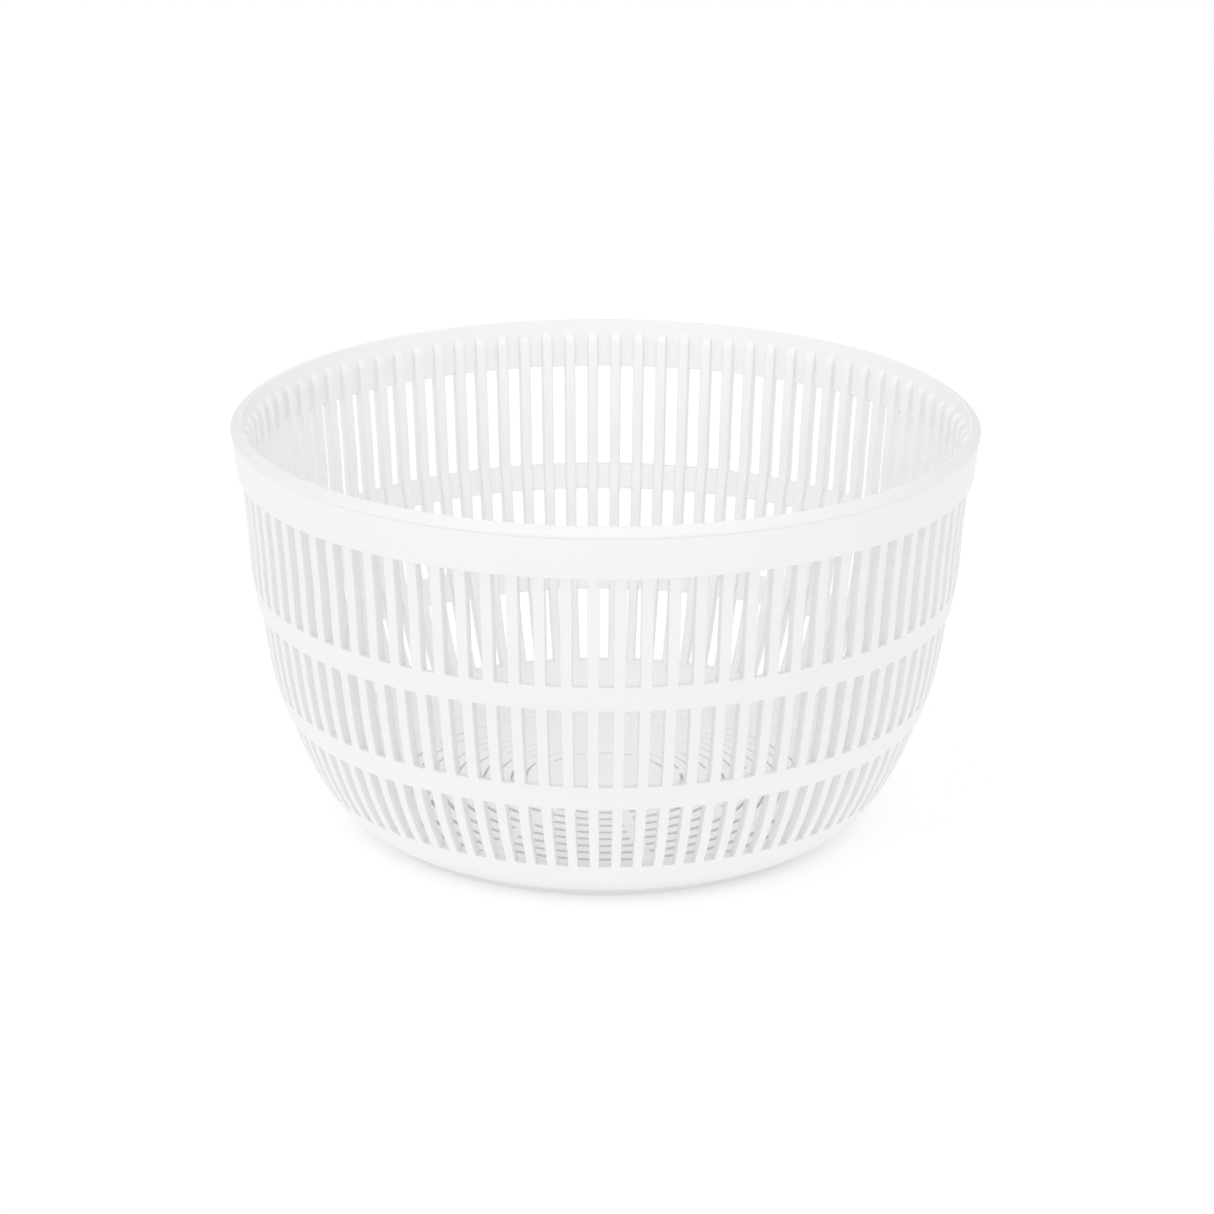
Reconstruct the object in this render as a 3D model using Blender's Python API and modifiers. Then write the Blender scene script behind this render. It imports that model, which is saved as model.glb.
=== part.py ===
"""Inner basket of a salad spinner: a round slotted bowl of white plastic.

The basket stands on its foot ring at z = 0 with +Z as its axis. Its wall is made of upright ribs in
equal panels, one row of panels above the upper hoop's middle and one below it. Two hoops and the rim
hold them outside, and a base ring below. Its floor is a set of sectors, each a spoke with short arcs
on both sides, around a plain hub.
Lengths are in millimetres at the top of the file and are turned into metres by MM.
"""

import math

import bpy

MM = 0.001

# Driving dimensions, in millimetres and counts
RIB_COUNT = 90
RIBS_PER_PANEL = 5
SPOKE_COUNT = 8
START_DEG = 12.35
GAP = 0.3
TURN_STEPS = 60

RIB_WIDTH_SHARE = 0.43
RIB_DEPTH = 3.4
UPPER_RIBS_OUTLINE = (
    (123.4, 112.3),
    (119.0, 111.6),
    (94.0, 110.4),
    (78.8, 107.7),
    (75.2, 107.2),
)
LOWER_RIBS_OUTLINE = (
    (74.9, 107.1),
    (70.6, 106.5),
    (58.0, 105.5),
    (41.5, 99.9),
    (28.0, 96.6),
    (15.3, 90.4),
    (13.3, 89.2),
)

RIM_OUTLINE = (
    (127.9, 113.1),
    (127.4, 113.8),
    (126.5, 114.7),
    (125.8, 115.0),
    (124.3, 115.0),
    (124.3, 111.0),
    (127.5, 111.0),
    (127.9, 111.3),
)
BAND_TOP = (124.0, 114.7)
BAND_BOTTOM = (112.3, 113.4)
BAND_DEPTH = 1.8

UPPER_HOOP = ((78.6, 109.3), (70.8, 108.1))
LOWER_HOOP = ((45.4, 102.9), (37.4, 100.5))
HOOP_DEPTH = 1.2

BASE_OUTLINE = (
    (13.0, 89.0),
    (10.7, 87.5),
    (6.1, 83.5),
    (3.1, 79.7),
    (1.8, 77.0),
)
BASE_DEPTH = 2.6
FOOT_OUTER_RADIUS = 75.4
FOOT_INNER_RADIUS = 72.6
FOOT_HEIGHT = 2.1

FLOOR_RIM_Z = 4.6
FLOOR_CENTRE_Z = 9.5
FLOOR_DEPTH = 2.2
FLOOR_RADIUS = 65.7
HUB_RADIUS = 19.7
ARC_COUNT = 10
ARC_PITCH = 4.48
FIRST_ARC_RADIUS = 22.5
ARC_WIDTH = 3.3
SPOKE_WIDTH = 4.2
FINE_ARC_RADIUS = 36.0

WHITE = (0.93, 0.93, 0.925, 1.0)


def clear_objects():
    for obj in list(bpy.data.objects):
        bpy.data.objects.remove(obj, do_unlink=True)


def plastic(name, roughness):
    """Opaque white moulded plastic."""
    material = bpy.data.materials.new(name)
    material.use_nodes = True
    shader = material.node_tree.nodes["Principled BSDF"]
    shader.inputs["Base Color"].default_value = WHITE
    shader.inputs["Roughness"].default_value = roughness
    shader.inputs["Metallic"].default_value = 0.0
    return material


def add_node(name, data, collection, roughness):
    obj = bpy.data.objects.new(name, data)
    collection.objects.link(obj)
    if not data.materials:
        data.materials.append(plastic(name + "_plastic", roughness))
    return obj


def turned(name, outline, closed, collection, roughness):
    """Solid of revolution. The outline is (z, radius) points, down the outer side first."""
    points = [(radius * MM, 0.0, z * MM) for z, radius in outline]
    edges = [(i, i + 1) for i in range(len(points) - 1)]
    if closed:
        edges.append((len(points) - 1, 0))
    mesh = bpy.data.meshes.new(name)
    mesh.from_pydata(points, edges, [])
    obj = add_node(name, mesh, collection, roughness)
    screw = obj.modifiers.new("turn", "SCREW")
    screw.axis = "Z"
    screw.angle = math.tau
    screw.steps = TURN_STEPS
    screw.render_steps = TURN_STEPS
    screw.use_merge_vertices = True
    screw.merge_threshold = 0.00001
    screw.use_smooth_shade = True
    return obj


def inset(outline, depth):
    """The same outline moved towards the axis by a depth."""
    return [(z, radius - depth) for z, radius in outline]


def ring_outline(outline, depth):
    """Closed outline of a thin ring: down its outer face, back up its inner face."""
    return list(outline) + inset(outline, depth)[::-1]


def rim_bead(collection):
    """Lip with a narrow flat crown near its inner side and a shoulder sloping outwards."""
    turned("rim_bead", RIM_OUTLINE, True, collection, 0.35)


def rim_band(collection):
    turned("rim_band", ring_outline((BAND_TOP, BAND_BOTTOM), BAND_DEPTH), True, collection, 0.4)


def hoops(collection):
    turned("upper_hoop", ring_outline(UPPER_HOOP, HOOP_DEPTH), True, collection, 0.4)
    turned("lower_hoop", ring_outline(LOWER_HOOP, HOOP_DEPTH), True, collection, 0.4)


def base_ring(collection):
    """Curved ring below the slots, with the plain margin of the floor on its inner side."""
    inner = [point for point in inset(BASE_OUTLINE, BASE_DEPTH) if point[0] > FLOOR_RIM_Z]
    floor_top = (FLOOR_RIM_Z, inner[-1][1] - 2.0)
    floor_bottom = FLOOR_RIM_Z - FLOOR_DEPTH
    outline = list(BASE_OUTLINE)
    outline.append((floor_bottom, FOOT_OUTER_RADIUS + GAP))
    outline.append((floor_bottom, FLOOR_RADIUS + GAP))
    outline.append((FLOOR_RIM_Z, FLOOR_RADIUS + GAP))
    outline.append(floor_top)
    outline.extend(inner[::-1])
    turned("base_ring", outline, True, collection, 0.4)


def foot_ring(collection):
    foot = ((FOOT_HEIGHT, FOOT_OUTER_RADIUS), (0.0, FOOT_OUTER_RADIUS))
    depth = FOOT_OUTER_RADIUS - FOOT_INNER_RADIUS
    turned("foot_ring", ring_outline(foot, depth), True, collection, 0.45)


def floor_hub(collection):
    bottom = FLOOR_CENTRE_Z - FLOOR_DEPTH
    outline = (
        (FLOOR_CENTRE_Z, 0.0),
        (FLOOR_CENTRE_Z, HUB_RADIUS - 0.4),
        (FLOOR_CENTRE_Z - 0.4, HUB_RADIUS),
        (bottom, HUB_RADIUS),
        (bottom, 0.0),
    )
    turned("floor_hub", outline, False, collection, 0.4)


def panel_columns(foot_radius):
    """Angles of a panel's column edges and, for each column, whether it is a rib."""
    pitch = math.tau / RIB_COUNT
    rib = pitch * RIB_WIDTH_SHARE
    side_gap = 0.5 * GAP / foot_radius
    edges = [-0.5 * pitch * RIBS_PER_PANEL + side_gap]
    is_rib = []
    for index in range(RIBS_PER_PANEL):
        centre = (index - 0.5 * (RIBS_PER_PANEL - 1)) * pitch
        edges.extend((centre - 0.5 * rib, centre + 0.5 * rib))
        is_rib.extend((False, True))
    edges.append(0.5 * pitch * RIBS_PER_PANEL - side_gap)
    is_rib.append(False)
    return edges, is_rib


def panel_mesh(name, outline):
    """Open outer surface of one panel: ribs between a plain strip at its head and one at its foot."""
    edges, is_rib = panel_columns(outline[-1][1])
    points = []
    for z, radius in outline:
        for angle in edges:
            points.append((radius * math.sin(angle) * MM, -radius * math.cos(angle) * MM, z * MM))
    width = len(edges)
    last_row = len(outline) - 2
    faces = []
    for row in range(last_row + 1):
        for column, rib in enumerate(is_rib):
            if rib or row in (0, last_row):
                corner = row * width + column
                faces.append((corner + 1, corner, corner + width, corner + width + 1))
    mesh = bpy.data.meshes.new(name)
    mesh.from_pydata(points, [], faces)
    mesh.materials.append(plastic(name + "_plastic", 0.4))
    return mesh


def rib_panels(name, outline, collection):
    """One row of panels. They share one mesh and are turned about the axis."""
    mesh = panel_mesh(name, outline)
    count = RIB_COUNT // RIBS_PER_PANEL
    for index in range(count):
        panel = add_node(f"{name}_{index + 1:02d}", mesh, collection, 0.4)
        panel.rotation_euler[2] = math.radians(START_DEG) + math.tau * (index + 0.5) / count
        thickness = panel.modifiers.new("wall", "SOLIDIFY")
        thickness.thickness = RIB_DEPTH * MM
        thickness.offset = -1.0
        thickness.use_even_offset = True


def arc_points(radius, start, end):
    """Points of one arc, in fewer steps near the centre."""
    steps = 2 if radius > FINE_ARC_RADIUS else 1
    return [
        (radius * math.cos(start + (end - start) * i / steps),
         radius * math.sin(start + (end - start) * i / steps))
        for i in range(steps + 1)
    ]


def sector_outline():
    """One spoke along +X with an arc of every ring on both of its sides."""
    half_angle = math.pi / SPOKE_COUNT
    side = []
    for index in range(ARC_COUNT):
        middle = FIRST_ARC_RADIUS + index * ARC_PITCH
        for radius, outward in ((middle - 0.5 * ARC_WIDTH, True), (middle + 0.5 * ARC_WIDTH, False)):
            root = math.asin(0.5 * SPOKE_WIDTH / radius)
            tip = half_angle - math.asin(0.5 * GAP / radius)
            points = arc_points(radius, root, tip)
            side.extend(points if outward else points[::-1])
    half = 0.5 * SPOKE_WIDTH
    inner_end = (math.sqrt((HUB_RADIUS + GAP) ** 2 - half * half), half)
    outer_end = (math.sqrt(FLOOR_RADIUS ** 2 - half * half), half)
    upper = [inner_end] + side + [outer_end]
    lower = [(x, -y) for x, y in reversed(upper)]
    return upper + lower


def sector_curve():
    curve = bpy.data.curves.new("floor_sector", "CURVE")
    curve.dimensions = "2D"
    curve.fill_mode = "BOTH"
    curve.extrude = 0.5 * FLOOR_DEPTH * MM
    outline = sector_outline()
    spline = curve.splines.new("POLY")
    spline.points.add(len(outline) - 1)
    for point, (x, y) in zip(spline.points, outline):
        point.co = (x * MM, y * MM, 0.0, 1.0)
    spline.use_cyclic_u = True
    curve.materials.append(plastic("floor_sector_plastic", 0.4))
    return curve


def floor_sectors(collection):
    """Sectors slope down from the hub to the floor's edge."""
    curve = sector_curve()
    slope = math.atan2(FLOOR_CENTRE_Z - FLOOR_RIM_Z, FLOOR_RADIUS)
    for index in range(SPOKE_COUNT):
        sector = add_node(f"floor_sector_{index + 1}", curve, collection, 0.4)
        turn = math.radians(START_DEG - 90.0) + math.tau * index / SPOKE_COUNT
        sector.rotation_euler = (0.0, slope, turn)
        sector.location[2] = (FLOOR_CENTRE_Z - 0.5 * FLOOR_DEPTH) * MM


def build():
    clear_objects()
    collection = bpy.data.collections.new("salad_spinner_basket")
    bpy.context.scene.collection.children.link(collection)
    rim_bead(collection)
    rim_band(collection)
    hoops(collection)
    rib_panels("upper_ribs", UPPER_RIBS_OUTLINE, collection)
    rib_panels("lower_ribs", LOWER_RIBS_OUTLINE, collection)
    base_ring(collection)
    foot_ring(collection)
    floor_hub(collection)
    floor_sectors(collection)


build()
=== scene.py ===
"""Looks of a salad spinner's inner basket: one white moulding with soft edges, in studio light.

Every node of the solid model is replaced by a finer piece in the same place; a wall panel takes the
place of two, one above the other. Lengths are in millimetres and MM turns them into metres. Angles
count from the front, -Y, and are positive towards the right, +X.
"""

import math

import bmesh
import bpy
from mathutils import Matrix, Vector


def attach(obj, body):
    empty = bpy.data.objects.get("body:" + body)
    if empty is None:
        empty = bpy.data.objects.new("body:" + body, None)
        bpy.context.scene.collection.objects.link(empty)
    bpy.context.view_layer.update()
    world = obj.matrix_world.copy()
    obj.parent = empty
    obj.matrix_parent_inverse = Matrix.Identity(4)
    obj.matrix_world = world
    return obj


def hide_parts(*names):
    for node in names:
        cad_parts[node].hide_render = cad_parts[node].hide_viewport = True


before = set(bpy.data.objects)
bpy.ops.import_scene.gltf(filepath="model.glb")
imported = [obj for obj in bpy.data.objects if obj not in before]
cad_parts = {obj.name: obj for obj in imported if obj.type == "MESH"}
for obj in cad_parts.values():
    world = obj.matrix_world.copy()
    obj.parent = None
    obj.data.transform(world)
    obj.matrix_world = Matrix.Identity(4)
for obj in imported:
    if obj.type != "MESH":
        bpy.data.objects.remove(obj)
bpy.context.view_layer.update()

MM = 0.001
BODY = "root"
SHARP_ANGLE = 50.0

# Wall: ribs and slots
RIB_COUNT = 90
RIBS_PER_PANEL = 5
PITCH = math.tau / RIB_COUNT
START = math.radians(12.35)
RIB_SHARE = 0.44
RIB_DEPTH = 3.5
RIB_NOSE = 0.7
RIB_TIP_Z = 124.0
RIB_TIP_HEIGHT = 3.4
RIB_START_DEPTH = 0.5
RIB_EXTRA_WIDTH = 0.02
RIB_SECTIONS = 40
TIP_SECTIONS = 6
TIP_TURN = math.radians(14.0)
TIP_NARROWING = 0.4
SLOT_FOOT_CORNER = 0.35
SLOT_HEAD_CORNER = 0.8
OUTER_EDGE = 0.25
INNER_EDGE = 0.25
SKIN_DEPTH = 2.0
RIM_SKIN_DEPTH = 1.5
WALL_TOP = 126.4
WALL_FOOT = 12.4
RIM_SKIN_REACH = 3.0
SLOT_STEP = 2.5
CORNER_TURN = math.radians(22.5)
WELD_DISTANCE = 0.00001
SLOTS = ((15.1, 37.3), (45.4, 70.7), (78.6, 112.2))

# The ribs' outer surface as (height, radius), with a set-back under each hoop
RIB_OUTLINE = (
    (6.1, 83.5),
    (10.7, 87.5),
    (15.3, 90.5),
    (22.6, 94.3),
    (30.0, 97.3),
    (37.3, 99.7),
    (45.4, 102.9),
    (58.1, 105.5),
    (70.7, 107.3),
    (78.6, 109.3),
    (95.4, 110.6),
    (112.2, 112.0),
    (124.6, 112.9),
)

# Rings outside the ribs; a hoop's top tucks just under the ribs' surface and its foot stands proud
TURN_STEPS = 360
RIM_RADIUS = 115.0
RIM_CROWN = (127.9, 112.2)
RIM_SHOULDER = ((0.0, 0.0), (-0.12, 0.45), (-0.6, 1.25), (-1.15, 1.95))
SHOULDER_DROP = 2.3
SHOULDER_ROUND = 0.8
GROOVE_Z = 124.85
GROOVE_PROFILE = ((0.45, -0.05), (0.2, -0.18), (0.0, -0.42), (-0.1, -0.75), (-0.1, -1.8))
RIM_SEAT_DEPTH = 2.0
SEAT_UNDER_WALL_TOP = 0.2
BAND = ((124.9, 114.7), (112.3, 113.4))
UPPER_HOOP = ((78.3, 109.17), (70.8, 108.1))
LOWER_HOOP = ((45.1, 102.76), (37.4, 100.5))
RING_TOP_EDGE = 0.3
BAND_EDGE = 0.6
BAND_SKIN = 1.8
HOOP_EDGE = 0.5
HOOP_SKIN = 0.9

# Base and foot: heights down the outer side under the slots, then the turn in towards the foot
BASE_SIDE_Z = (9.0, 7.5, 6.1)
BASE_TURN_IN = ((4.4, 81.6), (3.0, 79.4), (2.1, 77.6), (1.8, 76.4))
BASE_UNDERSIDE_DEPTH = 2.2
BASE_COVER = 0.02
FOOT = (72.6, 75.5)
FOOT_ROUND = 0.5

# Floor
FLOOR_RIM_Z = 4.6
FLOOR_CENTRE_Z = 9.5
FLOOR_RADIUS = 65.7
FLOOR_DEPTH = 2.2
HUB_RADIUS = 19.7
ARC_COUNT = 10
ARC_PITCH = 4.48
FIRST_ARC = 22.5
ARC_WIDTH = 3.6
ARC_EDGE = 0.3
SPOKE_COUNT = 8
ARC_STEPS = 20
BAR_FOOT_EDGE = 0.25
SPOKE_WIDTH = (3.8, 4.6)
SPOKE_EDGE = 0.55
SPOKE_STEPS = 16
SPOKE_RISE = 0.03
SPOKE_UNDER_HUB = 0.6
SPOKE_UNDER_BASE = 0.8
HUB_ROUND = 0.6
HUB_STEPS = 120
DOME_POWER = 1.1
AXIS_RADIUS = 0.01

# Looks
WHITE = (0.92, 0.92, 0.917)
FLOW_SCALE = 18.0
FLOW_DARKENING = 0.985
ROUGHNESS_SPREAD = 0.05
GRAIN_SCALE = 900.0
GRAIN_STRENGTH = 0.05
GRAIN_HEIGHT = 0.0002

# Camera and lamps, in metres and watts
CAMERA_PLACE = (0.0007, -1.1176, 0.4555)
CAMERA_PITCH = 19.268
CAMERA_ROLL = 0.3
CAMERA_LENS = 112.2
ROOM_LIGHT = 0.825
GROUND_GLOW = 0.21
GROUND_SIZE = 6.0
GROUND_Z = -0.0005
BASKET_MIDDLE = (0.0, 0.0, 0.06)
LAMPS = (
    {"name": "front", "place": (-0.6, -2.2, 1.1), "target": BASKET_MIDDLE, "size": 1.8, "power": 2.9},
    {"name": "left", "place": (-2.0, -0.6, 0.9), "target": BASKET_MIDDLE, "size": 1.4, "power": 1.3},
    {"name": "inside", "place": (0.0, -0.12, 0.25), "target": (0.0, 0.11, 0.08), "size": 0.12,
     "power": 0.048, "spread": 100.0},
)


def smooth_curve(points):
    """Smooth function through (height, value) points, by cubic pieces."""
    xs = [p[0] for p in points]
    ys = [p[1] for p in points]
    chords = [(ys[i + 1] - ys[i]) / (xs[i + 1] - xs[i]) for i in range(len(xs) - 1)]
    slopes = [chords[0]]
    slopes += [0.5 * (a + b) for a, b in zip(chords, chords[1:])]
    slopes.append(chords[-1])

    def value(x):
        i = 0
        while i < len(xs) - 2 and x > xs[i + 1]:
            i += 1
        width = xs[i + 1] - xs[i]
        t = (x - xs[i]) / width
        if t < 0.0:
            return ys[0] + (x - xs[0]) * slopes[0]
        if t > 1.0:
            return ys[-1] + (x - xs[-1]) * slopes[-1]
        rise = (2 * t ** 3 - 3 * t ** 2 + 1) * ys[i] + (3 * t ** 2 - 2 * t ** 3) * ys[i + 1]
        bend = (t ** 3 - 2 * t ** 2 + t) * slopes[i] + (t ** 3 - t ** 2) * slopes[i + 1]
        return rise + bend * width

    return value


rib_radius = smooth_curve(RIB_OUTLINE)


def polar(radius, angle, z):
    """Point at an angle counted from the front, positive to the right."""
    return Vector((radius * math.sin(angle) * MM, -radius * math.cos(angle) * MM, z * MM))


def new_piece(name, bm, material, slot, *nodes):
    """Mesh piece that rides on the body and replaces CAD nodes; the slot argument is not used."""
    mesh = bpy.data.meshes.new(name)
    bm.to_mesh(mesh)
    bm.free()
    mesh.materials.append(material)
    mesh.shade_smooth()
    mesh.set_sharp_from_angle(angle=math.radians(SHARP_ANGLE))
    piece = bpy.data.objects.new(name, mesh)
    bpy.context.scene.collection.objects.link(piece)
    weighted = piece.modifiers.new("flat_faces_stay_flat", "WEIGHTED_NORMAL")
    weighted.weight = 100
    weighted.keep_sharp = True
    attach(piece, BODY)
    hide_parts(*nodes)
    return piece


# ---------------------------------------------------------------- turned rings


def arc(centre_z, centre_r, radius, start, end, steps):
    """(z, r) points of a round corner; 0 degrees points outwards and 90 up."""
    points = []
    for i in range(steps + 1):
        angle = math.radians(start + (end - start) * i / steps)
        points.append((centre_z + radius * math.sin(angle), centre_r + radius * math.cos(angle)))
    return points


def turned_mesh(outline, steps=TURN_STEPS):
    """Closed solid of revolution from a closed (z, r) outline, down the outer side first."""
    bm = bmesh.new()
    rings = []
    for i in range(steps):
        angle = math.tau * i / steps
        rings.append([bm.verts.new(polar(r, angle, z)) for z, r in outline])
    count = len(outline)
    for i, ring in enumerate(rings):
        other = rings[(i + 1) % steps]
        for j in range(count):
            k = (j + 1) % count
            bm.faces.new((ring[j], ring[k], other[k], other[j]))
    bmesh.ops.recalc_face_normals(bm, faces=bm.faces)
    return bm


def rim_bead(material):
    """Rounded lip: a sloping shoulder up to a crown near its inner side, and a fine groove below."""
    crown_z, crown_r = RIM_CROWN
    seat_z = WALL_TOP - SEAT_UNDER_WALL_TOP
    inner = wall_inside(seat_z) - 0.03
    outline = [(crown_z + rise, crown_r + out) for rise, out in RIM_SHOULDER]
    outline += arc(crown_z - SHOULDER_DROP, RIM_RADIUS - SHOULDER_ROUND, SHOULDER_ROUND, 60, 0, 4)
    outline += [(GROOVE_Z + rise, RIM_RADIUS + out) for rise, out in GROOVE_PROFILE]
    outline += [(seat_z, RIM_RADIUS - RIM_SEAT_DEPTH), (seat_z, inner), (crown_z - 0.75, inner + 0.02)]
    outline += [(crown_z - 0.25, inner + 0.12), (crown_z - 0.06, crown_r - 0.2)]
    new_piece("rim_bead", turned_mesh(outline), material, "rim", "rim_bead")


def proud_ring(name, top, bottom, edge, skin, material, slot):
    """Flat ring proud of the ribs, with soft outer edges; it reaches a little into the ribs."""
    top_z, top_r = top
    bottom_z, bottom_r = bottom
    outline = arc(top_z - RING_TOP_EDGE, top_r - RING_TOP_EDGE, RING_TOP_EDGE, 90, 0, 3)
    outline += arc(bottom_z + edge, bottom_r - edge, edge, 0, -90, 3)
    outline += [(bottom_z, bottom_r - edge - skin), (top_z, top_r - edge - skin)]
    new_piece(name, turned_mesh(outline), material, slot, name)


def base_ring(material):
    """Curved ring under the slots; its inner side turns into the floor's plain margin."""
    top = SLOTS[0][0] + 0.2
    outer = [(top - 0.1, rib_radius(top) - 0.6), (top - 0.5, rib_radius(top - 0.5) - 0.12)]
    outer += [(13.9, rib_radius(13.9) - 0.03), (12.6, rib_radius(12.6) + BASE_COVER)]
    outer += [(z, rib_radius(z) + BASE_COVER) for z in (11.0,) + BASE_SIDE_Z]
    outer += BASE_TURN_IN + ((BASE_TURN_IN[-1][0] + 0.1, FOOT[1] + 0.2),)
    underside = FLOOR_RIM_Z - BASE_UNDERSIDE_DEPTH
    inner = [(underside, FOOT[1] - 0.6), (underside, FLOOR_RADIUS + 0.4)]
    inner += arc(FLOOR_RIM_Z - 0.5, FLOOR_RADIUS + 0.5, 0.5, 180, 90, 3)
    wall_r = rib_radius(11.0) - RIB_DEPTH - BASE_COVER
    inner += [(FLOOR_RIM_Z, wall_r - 7.4), (FLOOR_RIM_Z + 0.5, wall_r - 5.6), (6.4, wall_r - 3.8)]
    inner += [(8.6, wall_r - 1.8), (11.0, wall_r), (12.5, rib_radius(12.5) - RIB_DEPTH - BASE_COVER)]
    inner += arc(top - 0.5, rib_radius(top - 0.5) - RIB_DEPTH + 0.48, 0.5, 180, 90, 3)
    new_piece("base_ring", turned_mesh(outer + inner), material, "base", "base_ring")


def foot_ring(material):
    """Low lip under the base, with rounded edges where it stands."""
    inner_r, outer_r = FOOT
    top = FLOOR_RIM_Z - BASE_UNDERSIDE_DEPTH - 0.2
    outline = [(top, outer_r)]
    outline += arc(FOOT_ROUND, outer_r - FOOT_ROUND, FOOT_ROUND, 0, -90, 3)
    outline += arc(FOOT_ROUND, inner_r + FOOT_ROUND, FOOT_ROUND, -90, -180, 3)
    outline += [(top, inner_r)]
    new_piece("foot_ring", turned_mesh(outline), material, "base", "foot_ring")


# ---------------------------------------------------------------- the slotted wall


def skin_depth(z):
    """Thickness of the wall between the ribs: thinner behind the rim's band than at the hoops."""
    return RIM_SKIN_DEPTH if z > SLOTS[-1][1] - RIM_SKIN_REACH else SKIN_DEPTH


def wall_inside(z):
    """Radius of the wall's inner surface between the ribs."""
    return rib_radius(z) - skin_depth(z)


def slot_half(z):
    """Half the slot's width at a height."""
    return 0.5 * PITCH * rib_radius(z) * (1.0 - RIB_SHARE)


def half_slot(low, high):
    """Half the outline of a slot, from the middle of its foot to the middle of its head.

    Each entry is (across, z, normal across, normal z, partner), where partner is the point's
    (share of the half cell's width, z) on the edge of the cell around the slot.
    """
    foot, head = "foot", "head"
    flat_low = slot_half(low) - SLOT_FOOT_CORNER
    flat_high = slot_half(high) - SLOT_HEAD_CORNER
    share_low = flat_low / (0.5 * PITCH * rib_radius(low))
    share_high = flat_high / (0.5 * PITCH * rib_radius(high))
    points = [(0.0, low, 0.0, -1.0, (0.0, foot))]
    points.append((0.5 * flat_low, low, 0.0, -1.0, (0.5 * share_low, foot)))
    start = low + SLOT_FOOT_CORNER
    end = high - SLOT_HEAD_CORNER
    ring = ((share_low, foot), (0.5 + 0.5 * share_low, foot), (1.0, foot), (1.0, low), (1.0, start))
    for step, partner in enumerate(ring):
        lean = CORNER_TURN * step - 0.5 * math.pi
        side, up = math.cos(lean), math.sin(lean)
        across = flat_low + SLOT_FOOT_CORNER * side
        points.append((across, start + SLOT_FOOT_CORNER * up, side, up, partner))
    steps = max(6, round((end - start) / SLOT_STEP))
    for i in range(1, steps):
        z = start + (end - start) * i / steps
        points.append((slot_half(z), z, 1.0, 0.0, (1.0, z)))
    ring = ((1.0, end), (1.0, high), (1.0, head), (0.5 + 0.5 * share_high, head), (share_high, head))
    for step, partner in enumerate(ring):
        lean = CORNER_TURN * step
        side, up = math.cos(lean), math.sin(lean)
        across = flat_high + SLOT_HEAD_CORNER * side
        points.append((across, end + SLOT_HEAD_CORNER * up, side, up, partner))
    points.append((0.5 * flat_high, high, 0.0, 1.0, (0.5 * share_high, head)))
    points.append((0.0, high, 0.0, 1.0, (0.0, head)))
    return points


def edge_path():
    """The wall's section at a slot's edge, as (distance from the edge, share of depth, extra depth).

    A distance of None stands for the edge of the cell.
    """
    path = [(None, 0.0, 0.0)]
    for i in range(3):
        lean = math.radians(45.0 * i)
        path.append((OUTER_EDGE * (1.0 - math.sin(lean)), 0.0, OUTER_EDGE * (1.0 - math.cos(lean))))
    path += [(0.0, 1.0, -INNER_EDGE), (INNER_EDGE, 1.0, 0.0), (None, 1.0, 0.0)]
    return path


def half_cell(bm, rib_angle, side, span, slot, at_panel_edge):
    """Half of one slot and half of the rib beside it, as one strip of faces through the wall."""
    path = edge_path()
    rows = []
    for across, z, normal_across, normal_z, (share, partner_z) in half_slot(*slot):
        row = []
        for distance, depth_share, extra in path:
            if distance is None:
                height = {"foot": span[0], "head": span[1]}.get(partner_z, partner_z)
                place = share
            else:
                height = z + normal_z * distance
                place = (across + normal_across * distance) / (0.5 * PITCH * rib_radius(height))
            depth = depth_share * skin_depth(height) + extra
            angle = rib_angle + side * 0.5 * PITCH * (1.0 - place)
            row.append(bm.verts.new(polar(rib_radius(height) - depth, angle, height)))
        rows.append((row, partner_z))
    for (first, first_edge), (second, second_edge) in zip(rows, rows[1:]):
        for j in range(len(path) - 1):
            bm.faces.new((first[j], first[j + 1], second[j + 1], second[j]))
        closes_foot = first_edge == second_edge == "foot" and span[0] == WALL_FOOT
        closes_head = first_edge == second_edge == "head" and span[1] == WALL_TOP
        if closes_foot or closes_head:
            bm.faces.new((first[0], second[0], second[-1], first[-1]))
    if at_panel_edge:
        bm.faces.new(rows[0][0])
        bm.faces.new(rows[-1][0])


def rib_section(angle, z, thickness, width):
    """Points round a rib's bar at a height: a flat back inside the wall and a rounded nose."""
    half = (0.5 * PITCH * rib_radius(z) * RIB_SHARE + RIB_EXTRA_WIDTH) * width
    depth = RIB_START_DEPTH + (RIB_DEPTH - RIB_START_DEPTH) * thickness
    nose = min(RIB_NOSE * width, 0.8 * (depth - RIB_START_DEPTH))
    places = [(-half, RIB_START_DEPTH)]
    for i in range(5):
        lean = CORNER_TURN * i
        places.append((-half + nose * (1.0 - math.cos(lean)), depth - nose * (1.0 - math.sin(lean))))
    places += [(-across, deep) for across, deep in reversed(places)]
    return [polar(rib_radius(z) - deep, angle + across / rib_radius(z), z) for across, deep in places]


def rib_bar(bm, angle):
    """Inner part of one rib, over all three rows of slots, with a rounded tip under the rim."""
    foot = WALL_FOOT + 0.2
    tip_start = RIB_TIP_Z - RIB_TIP_HEIGHT
    sections = []
    for i in range(RIB_SECTIONS + 1):
        z = foot + (tip_start - foot) * i / RIB_SECTIONS
        sections.append(rib_section(angle, z, 1.0, 1.0))
    for i in range(1, TIP_SECTIONS + 1):
        lean = TIP_TURN * i
        z = tip_start + RIB_TIP_HEIGHT * math.sin(lean)
        sections.append(rib_section(angle, z, math.cos(lean), math.cos(lean) ** TIP_NARROWING))
    sweep(bm, sections)


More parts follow.
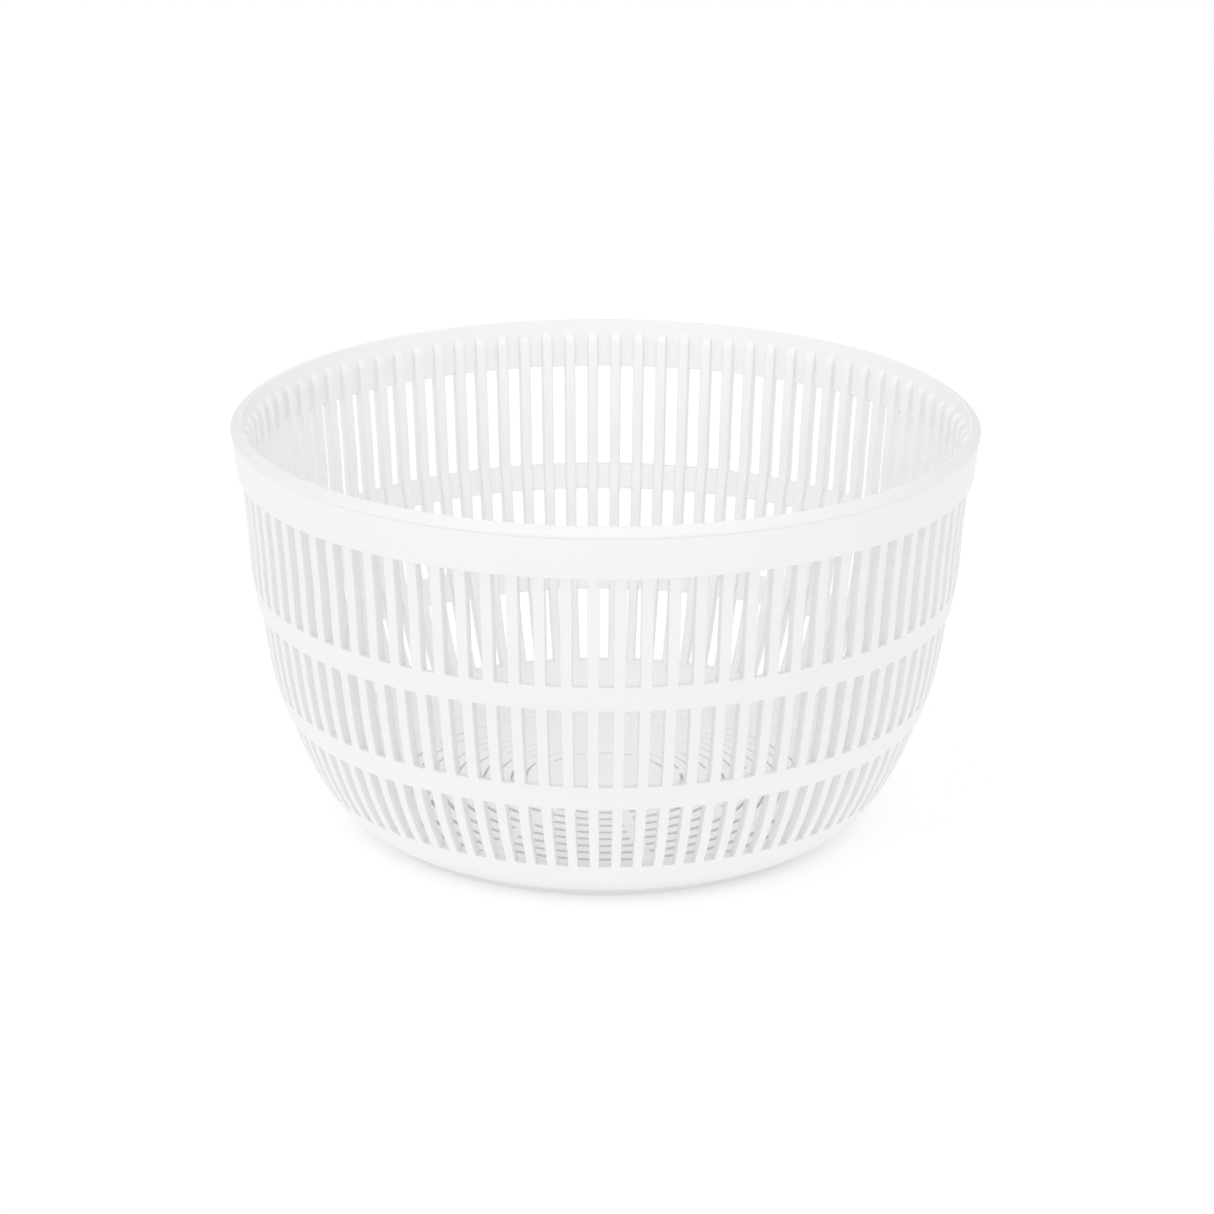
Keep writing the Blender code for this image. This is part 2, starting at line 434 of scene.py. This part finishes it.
def wall_panel(index, material):
    """Five ribs with the slots between them: a thin wall with three rows of slots, and the bars."""
    middles = [WALL_FOOT] + [0.5 * (a[1] + b[0]) for a, b in zip(SLOTS, SLOTS[1:])] + [WALL_TOP]
    first = index * RIBS_PER_PANEL + 0.5
    angles = [START + (first + place) * PITCH for place in range(RIBS_PER_PANEL)]
    bm = bmesh.new()
    for place, angle in enumerate(angles):
        for side, edge_place in ((-1, 0), (1, RIBS_PER_PANEL - 1)):
            for row, slot in enumerate(SLOTS):
                half_cell(bm, angle, side, middles[row:row + 2], slot, place == edge_place)
    bmesh.ops.remove_doubles(bm, verts=bm.verts, dist=WELD_DISTANCE)
    for angle in angles:
        rib_bar(bm, angle)
    bmesh.ops.recalc_face_normals(bm, faces=bm.faces)
    number = f"{index + 1:02d}"
    nodes = ("upper_ribs_" + number, "lower_ribs_" + number)
    new_piece("ribs_" + number, bm, material, "ribs", *nodes)


# ---------------------------------------------------------------- floor


def floor_z(radius):
    """Top of the floor: a shallow, nearly straight cone."""
    share = min(radius / FLOOR_RADIUS, 1.0) ** DOME_POWER
    return FLOOR_CENTRE_Z - (FLOOR_CENTRE_Z - FLOOR_RIM_Z) * share


def bar_section(width, edge):
    """(across, down) points round a bar with soft top edges."""
    half = 0.5 * width
    points = []
    for i in range(4):
        angle = math.radians(180 - 30 * i)
        points.append((-half + edge + edge * math.cos(angle), edge - edge * math.sin(angle)))
    for i in range(4):
        angle = math.radians(90 - 30 * i)
        points.append((half - edge + edge * math.cos(angle), edge - edge * math.sin(angle)))
    under = [(half, FLOOR_DEPTH - BAR_FOOT_EDGE), (half - BAR_FOOT_EDGE, FLOOR_DEPTH)]
    return points + under + [(-across, down) for across, down in reversed(under)]


def sweep(bm, sections, capped=True):
    """Tube through sections with equal numbers of points; an uncapped end meets its neighbour's."""
    rings = [[bm.verts.new(p) for p in section] for section in sections]
    count = len(rings[0])
    for first, second in zip(rings, rings[1:]):
        for j in range(count):
            k = (j + 1) % count
            bm.faces.new((first[j], first[k], second[k], second[j]))
    if capped:
        bm.faces.new(rings[0][::-1])
        bm.faces.new(rings[-1])


def floor_sector(index, material):
    """One spoke and its share of every ring."""
    bm = bmesh.new()
    centre = START + math.tau * index / SPOKE_COUNT
    half_angle = math.pi / SPOKE_COUNT
    for ring in range(ARC_COUNT):
        radius = FIRST_ARC + ARC_PITCH * ring
        top = floor_z(radius)
        places = bar_section(ARC_WIDTH, ARC_EDGE)
        sections = []
        for step in range(ARC_STEPS + 1):
            angle = centre + half_angle * (2 * step / ARC_STEPS - 1.0)
            sections.append([polar(radius + across, angle, top - down) for across, down in places])
        sweep(bm, sections, capped=False)
    start = HUB_RADIUS - SPOKE_UNDER_HUB
    sections = []
    for step in range(SPOKE_STEPS + 1):
        share = step / SPOKE_STEPS
        radius = start + (FLOOR_RADIUS + SPOKE_UNDER_BASE - start) * share
        width = SPOKE_WIDTH[0] + (SPOKE_WIDTH[1] - SPOKE_WIDTH[0]) * share
        top = floor_z(radius) + SPOKE_RISE
        places = bar_section(width, SPOKE_EDGE)
        sections.append([polar(radius, centre + across / radius, top - down) for across, down in places])
    sweep(bm, sections)
    bmesh.ops.recalc_face_normals(bm, faces=bm.faces)
    name = f"floor_sector_{index + 1}"
    new_piece(name, bm, material, "floor", name)


def floor_hub(material):
    """Plain disc in the middle of the floor, with a round edge."""
    underside = FLOOR_CENTRE_Z - FLOOR_DEPTH
    outline = [(floor_z(radius), radius) for radius in (AXIS_RADIUS, 5.0, 10.0, 15.0)]
    outline += arc(floor_z(HUB_RADIUS) - HUB_ROUND, HUB_RADIUS - HUB_ROUND, HUB_ROUND, 90, 0, 4)
    outline += [(underside, HUB_RADIUS), (underside, AXIS_RADIUS)]
    new_piece("floor_hub", turned_mesh(outline, HUB_STEPS), material, "floor", "floor_hub")


# ---------------------------------------------------------------- materials


def moulded_plastic(name, roughness):
    """White polypropylene: satin, with faint flow marks and a fine moulded grain."""
    material = bpy.data.materials.new(name)
    material.use_nodes = True
    nodes = material.node_tree.nodes
    links = material.node_tree.links
    shader = nodes["Principled BSDF"]
    shader.inputs["IOR"].default_value = 1.49
    shader.inputs["Specular IOR Level"].default_value = 0.5
    place = nodes.new("ShaderNodeTexCoord")
    flow = nodes.new("ShaderNodeTexNoise")
    flow.inputs["Scale"].default_value = FLOW_SCALE
    flow.inputs["Detail"].default_value = 3.0
    links.new(place.outputs["Object"], flow.inputs["Vector"])
    tint = nodes.new("ShaderNodeMixRGB")
    tint.inputs["Color1"].default_value = [c * FLOW_DARKENING for c in WHITE] + [1.0]
    tint.inputs["Color2"].default_value = list(WHITE) + [1.0]
    links.new(flow.outputs["Fac"], tint.inputs["Fac"])
    links.new(tint.outputs["Color"], shader.inputs["Base Color"])
    gloss = nodes.new("ShaderNodeMapRange")
    gloss.inputs["To Min"].default_value = roughness - ROUGHNESS_SPREAD
    gloss.inputs["To Max"].default_value = roughness + ROUGHNESS_SPREAD
    links.new(flow.outputs["Fac"], gloss.inputs["Value"])
    links.new(gloss.outputs["Result"], shader.inputs["Roughness"])
    grain = nodes.new("ShaderNodeTexNoise")
    grain.inputs["Scale"].default_value = GRAIN_SCALE
    grain.inputs["Detail"].default_value = 2.0
    links.new(place.outputs["Object"], grain.inputs["Vector"])
    bump = nodes.new("ShaderNodeBump")
    bump.inputs["Strength"].default_value = GRAIN_STRENGTH
    bump.inputs["Distance"].default_value = GRAIN_HEIGHT
    links.new(grain.outputs["Fac"], bump.inputs["Height"])
    links.new(bump.outputs["Normal"], shader.inputs["Normal"])
    return material


# ---------------------------------------------------------------- studio


def camera():
    data = bpy.data.cameras.new("camera")
    data.lens = CAMERA_LENS
    data.sensor_width = 36.0
    data.clip_end = 50.0
    obj = bpy.data.objects.new("camera", data)
    obj.location = CAMERA_PLACE
    tilt = Matrix.Rotation(math.radians(90.0 - CAMERA_PITCH), 3, "X")
    obj.rotation_euler = (tilt @ Matrix.Rotation(math.radians(CAMERA_ROLL), 3, "Z")).to_euler()
    bpy.context.scene.collection.objects.link(obj)
    bpy.context.scene.camera = obj


def area_light(name, place, target, size, power, spread=180.0):
    """Square lamp aimed at a target; its own face stays out of every picture."""
    data = bpy.data.lights.new(name, "AREA")
    data.size = size
    data.spread = math.radians(spread)
    data.energy = power
    obj = bpy.data.objects.new(name, data)
    obj.location = place
    obj.rotation_mode = "QUATERNION"
    obj.rotation_quaternion = (Vector(target) - Vector(place)).to_track_quat("-Z", "Y")
    obj.visible_camera = False
    bpy.context.scene.collection.objects.link(obj)


def studio():
    """Plain bright ground that glows a little, an even white room and soft lights."""
    world = bpy.data.worlds.new("white_room")
    world.use_nodes = True
    background = world.node_tree.nodes["Background"]
    background.inputs["Color"].default_value = (1.0, 1.0, 1.0, 1.0)
    background.inputs["Strength"].default_value = ROOM_LIGHT
    bpy.context.scene.world = world
    bpy.context.scene.view_settings.view_transform = "Standard"
    bm = bmesh.new()
    bmesh.ops.create_grid(bm, x_segments=1, y_segments=1, size=GROUND_SIZE)
    mesh = bpy.data.meshes.new("floor")
    bm.to_mesh(mesh)
    bm.free()
    material = bpy.data.materials.new("pale_floor")
    material.use_nodes = True
    shader = material.node_tree.nodes["Principled BSDF"]
    shader.inputs["Base Color"].default_value = (0.95, 0.95, 0.95, 1.0)
    shader.inputs["Roughness"].default_value = 0.9
    shader.inputs["Emission Color"].default_value = (1.0, 1.0, 1.0, 1.0)
    shader.inputs["Emission Strength"].default_value = GROUND_GLOW
    mesh.materials.append(material)
    ground = bpy.data.objects.new("floor", mesh)
    ground.location[2] = GROUND_Z
    bpy.context.scene.collection.objects.link(ground)
    for lamp in LAMPS:
        area_light(**lamp)


def build():
    rim = moulded_plastic("rim_plastic", 0.38)
    hoops = moulded_plastic("hoop_plastic", 0.4)
    ribs = moulded_plastic("rib_plastic", 0.4)
    base = moulded_plastic("base_plastic", 0.4)
    floor = moulded_plastic("floor_plastic", 0.42)
    rim_bead(rim)
    proud_ring("rim_band", BAND[0], BAND[1], BAND_EDGE, BAND_SKIN, rim, "rim")
    proud_ring("upper_hoop", UPPER_HOOP[0], UPPER_HOOP[1], HOOP_EDGE, HOOP_SKIN, hoops, "hoops")
    proud_ring("lower_hoop", LOWER_HOOP[0], LOWER_HOOP[1], HOOP_EDGE, HOOP_SKIN, hoops, "hoops")
    for index in range(RIB_COUNT // RIBS_PER_PANEL):
        wall_panel(index, ribs)
    base_ring(base)
    foot_ring(base)
    floor_hub(floor)
    for index in range(SPOKE_COUNT):
        floor_sector(index, floor)
    studio()
    camera()


build()
bpy.context.view_layer.update()
